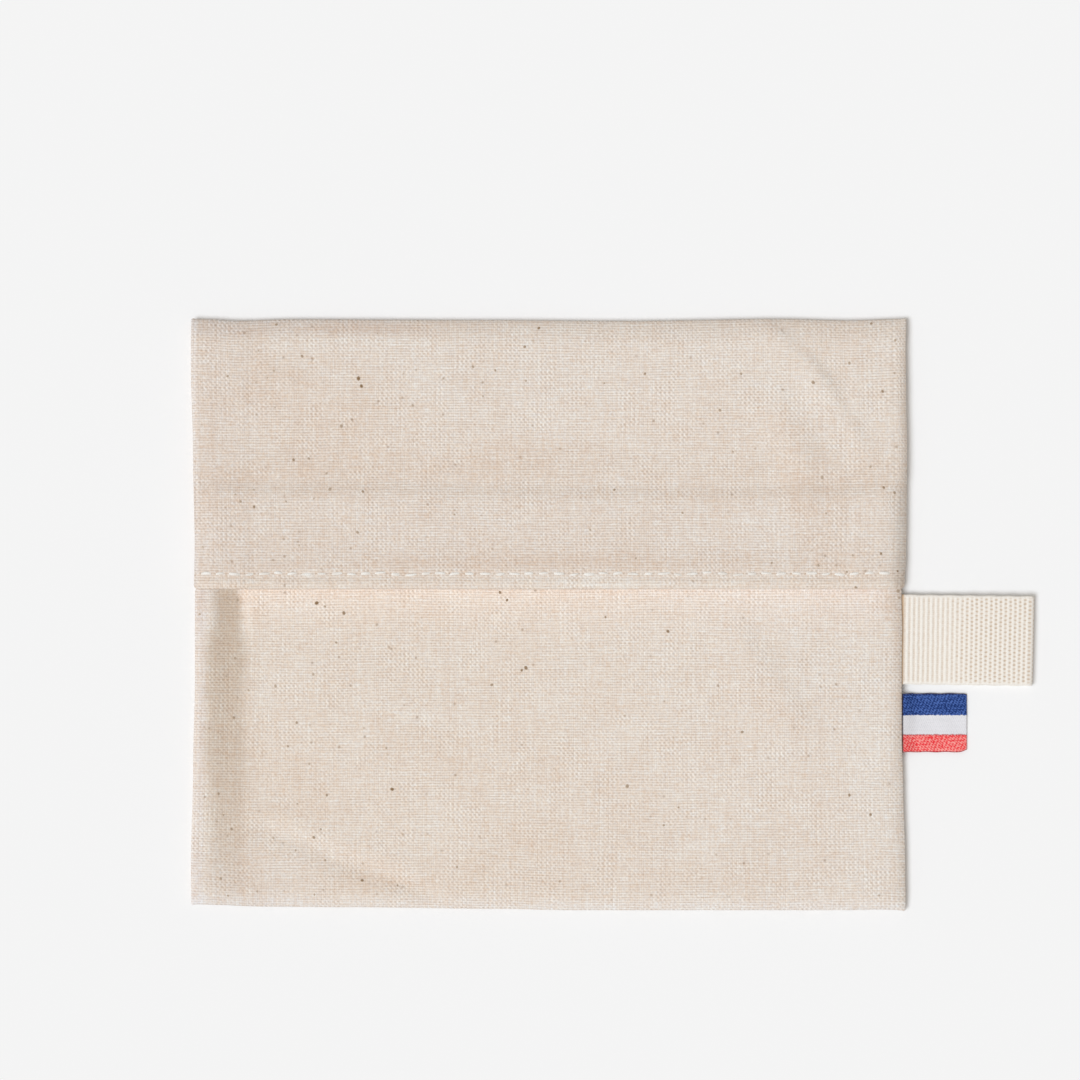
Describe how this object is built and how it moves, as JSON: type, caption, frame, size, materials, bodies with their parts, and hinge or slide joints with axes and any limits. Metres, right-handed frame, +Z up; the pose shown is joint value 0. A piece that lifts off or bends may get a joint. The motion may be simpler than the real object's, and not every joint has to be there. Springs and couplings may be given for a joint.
{
  "type": "cotton soap pouch",
  "caption": "Flat envelope-fold cotton pouch for a bar of soap, with a hemmed flap tucked over the lower panel and loop labels in one side seam.",
  "frame": {"origin": "middle of the pouch's back, on the surface that it lies on", "axes": "+X across the pouch towards its labels, +Y from the lower fold to the upper fold, +Z up, out of the flap"},
  "size_m": [0.1438, 0.1007, 0.0043],
  "materials": {
    "calico": "unbleached plain-weave cotton with brown seed flecks, matt",
    "cotton_tape": "natural ribbed cotton tape, matt",
    "woven_ribbon": "blue, white and red woven ribbon, slight sheen"
  },
  "bodies": {
    "root": {"pouch_cloth": "calico", "tape_label": "cotton_tape", "tricolour_ribbon": "woven_ribbon"}
  },
  "joints": []
}
